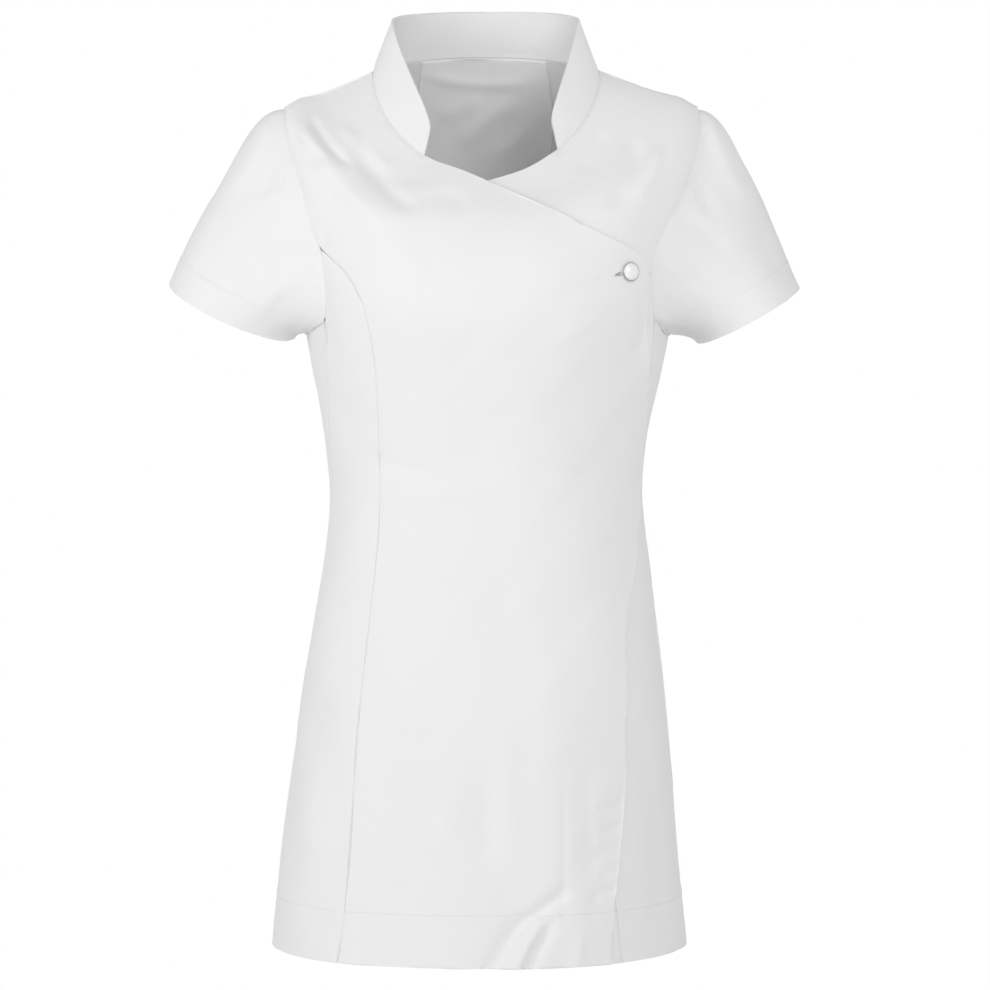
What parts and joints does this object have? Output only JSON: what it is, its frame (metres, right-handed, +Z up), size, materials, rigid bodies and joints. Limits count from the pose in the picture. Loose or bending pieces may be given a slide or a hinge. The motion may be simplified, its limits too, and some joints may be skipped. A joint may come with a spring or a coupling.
{
  "type": "work tunic",
  "caption": "Short-sleeved wrap-over work tunic with a stand collar, princess seams, set-in sleeves, a deep hem and one domed button, filled out with no wearer.",
  "frame": {"origin": "midway between the two shoulder seams at the neck, where the wearer's shoulders hold the tunic up", "axes": "+Z up, -Y towards the front of the tunic, +X towards the wearer's left"},
  "size_m": [0.521, 0.2627, 0.7802],
  "materials": {
    "tunic_cloth": "matt fine weave",
    "facing_cloth": "matt fine weave",
    "button_shell": "polished"
  },
  "bodies": {
    "root": {"right_front": "tunic_cloth", "left_front": "tunic_cloth", "right_side_front": "tunic_cloth", "left_side_front": "tunic_cloth", "back": "tunic_cloth", "right_sleeve": "tunic_cloth", "left_sleeve": "tunic_cloth", "collar": "tunic_cloth", "back_neck_facing": "facing_cloth", "button": "button_shell"}
  },
  "joints": []
}
